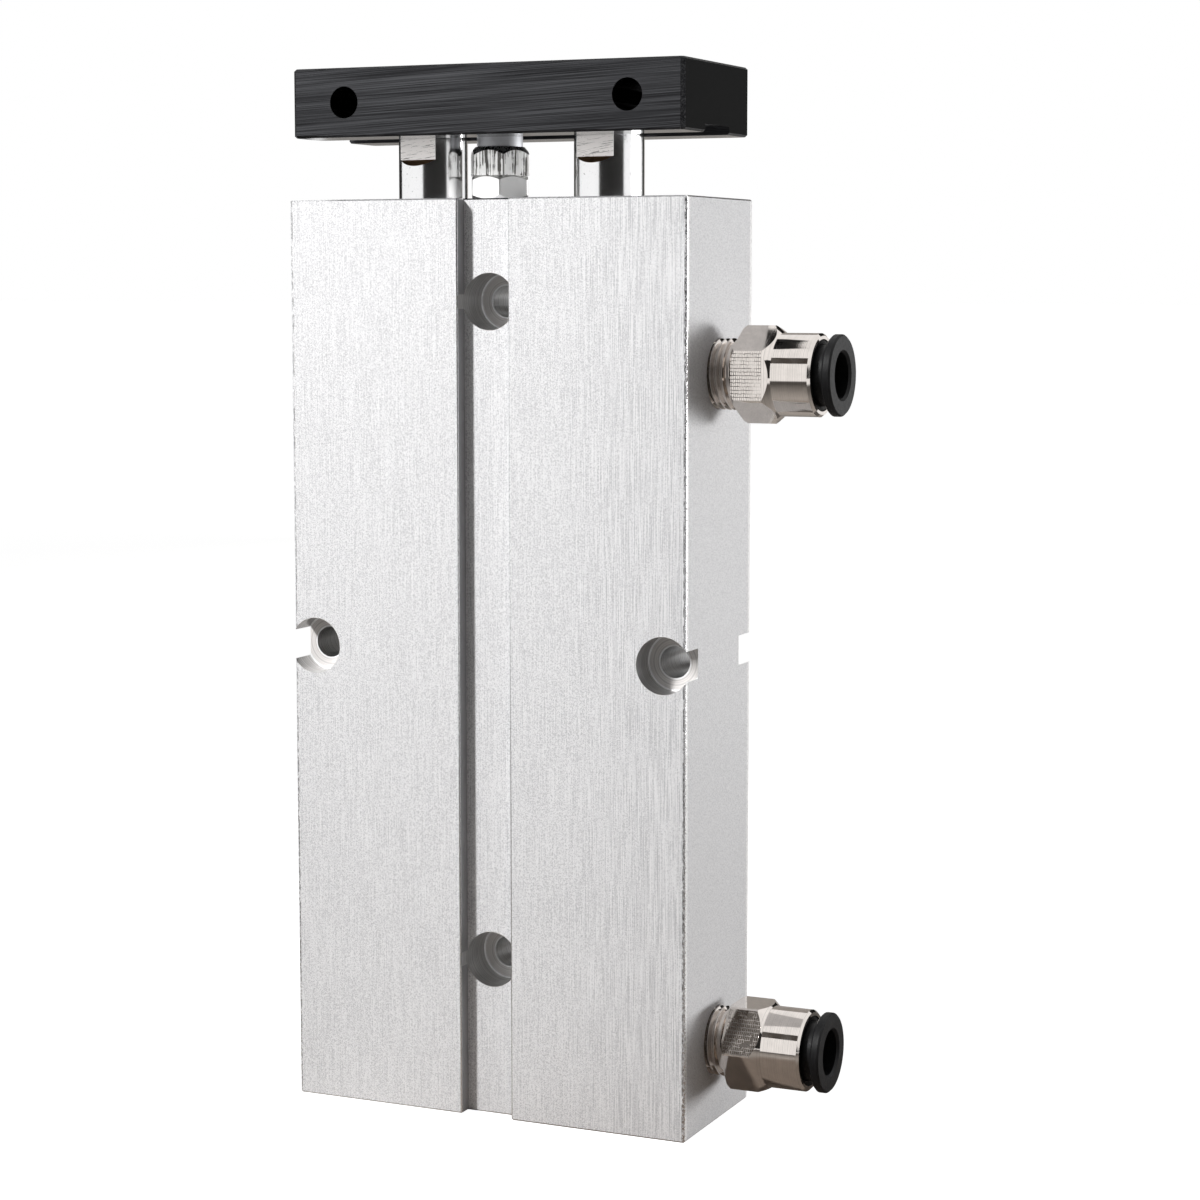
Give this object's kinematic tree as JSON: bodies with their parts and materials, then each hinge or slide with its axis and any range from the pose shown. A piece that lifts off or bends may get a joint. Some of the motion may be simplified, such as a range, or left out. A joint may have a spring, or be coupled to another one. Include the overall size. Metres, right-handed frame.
{
  "type": "double rod pneumatic cylinder",
  "caption": "Flat pneumatic cylinder: slotted aluminium barrel, paired piston rods tied by a black end plate, adjustable stop screw with lock nut, push-in tube fittings on one side.",
  "frame": {"origin": "middle of the barrel's rear end face", "axes": "+Z along the rods as they come out, +X to the side with the ports, -Y the front face"},
  "size_m": [0.0802, 0.0244, 0.1506],
  "materials": {
    "barrel_silver": "clear anodised, fine brushed",
    "plate_black": "black anodised, brushed",
    "rod_chrome": "hard chromed, polished",
    "plated_steel": "bright zinc plated",
    "black_steel": "black oxide",
    "inner_steel": "plain turned",
    "spring_steel": "stainless strip",
    "inner_aluminium": "turned, satin",
    "bearing_bronze": "sintered",
    "magnet_grey": "sintered",
    "black_rubber": "moulded",
    "bumper_rubber": "moulded",
    "nickel_brass": "nickel plated",
    "black_plastic": "moulded, matte"
  },
  "bodies": {
    "base": {"barrel": "barrel_silver", "rear_retaining_rings": "black_steel", "front_retaining_rings": "black_steel", "rear_cover_left": "inner_aluminium", "rear_cover_right": "inner_aluminium", "rear_o_ring_left": "black_rubber", "rear_o_ring_right": "black_rubber", "rear_bumper_left": "bumper_rubber", "rear_bumper_right": "bumper_rubber", "rod_cover_left": "inner_aluminium", "rod_cover_right": "inner_aluminium", "rod_cover_o_ring_left": "black_rubber", "rod_cover_o_ring_right": "black_rubber", "guide_bush_left": "bearing_bronze", "guide_bush_right": "bearing_bronze", "rod_seal_left": "black_rubber", "rod_seal_right": "black_rubber", "seal_retainer_left": "inner_steel", "seal_retainer_right": "inner_steel", "fitting_body_upper": "nickel_brass", "fitting_body_lower": "nickel_brass", "tube_seal_upper": "black_rubber", "tube_seal_lower": "black_rubber", "grab_ring_upper": "spring_steel", "grab_ring_lower": "spring_steel", "tube_guide_upper": "black_plastic", "tube_guide_lower": "black_plastic"},
    "rods": {"end_plate": "plate_black", "plate_screws": "black_steel", "piston_nuts": "inner_steel", "piston_rod_left": "rod_chrome", "piston_rod_right": "rod_chrome", "piston_left": "inner_aluminium", "piston_right": "inner_aluminium", "piston_seal_left": "black_rubber", "piston_seal_right": "black_rubber", "magnet_ring_left": "magnet_grey", "magnet_ring_right": "magnet_grey", "magnet_clamp_left": "inner_steel", "magnet_clamp_right": "inner_steel", "front_bumper_left": "bumper_rubber", "front_bumper_right": "bumper_rubber"},
    "stop": {"stop_screw": "plated_steel"},
    "lock": {"lock_nut": "plated_steel"},
    "release_upper": {"release_sleeve_upper": "black_plastic"},
    "release_lower": {"release_sleeve_lower": "black_plastic"}
  },
  "joints": [
    {"name": "rod_slide", "type": "slide", "parent": "base", "child": "rods", "axis": [0, 0, 1], "range_m": [0, 0.075]},
    {"name": "stop_feed", "type": "slide", "parent": "rods", "child": "stop", "axis": [0, 0, 1], "range_m": [0, 0.0011]},
    {"name": "lock_nut_turn", "type": "hinge", "parent": "stop", "child": "lock", "pos_m": [-0.0032, 0, 0.1375], "axis": [0, 0, 1], "range_deg": [0, 330]},
    {"name": "release_upper_push", "type": "slide", "parent": "base", "child": "release_upper", "axis": [-1, 0, 0], "range_m": [0, 0.0012], "stiffness_N_per_m": 500},
    {"name": "release_lower_push", "type": "slide", "parent": "base", "child": "release_lower", "axis": [-1, 0, 0], "range_m": [0, 0.0012], "stiffness_N_per_m": 500}
  ]
}
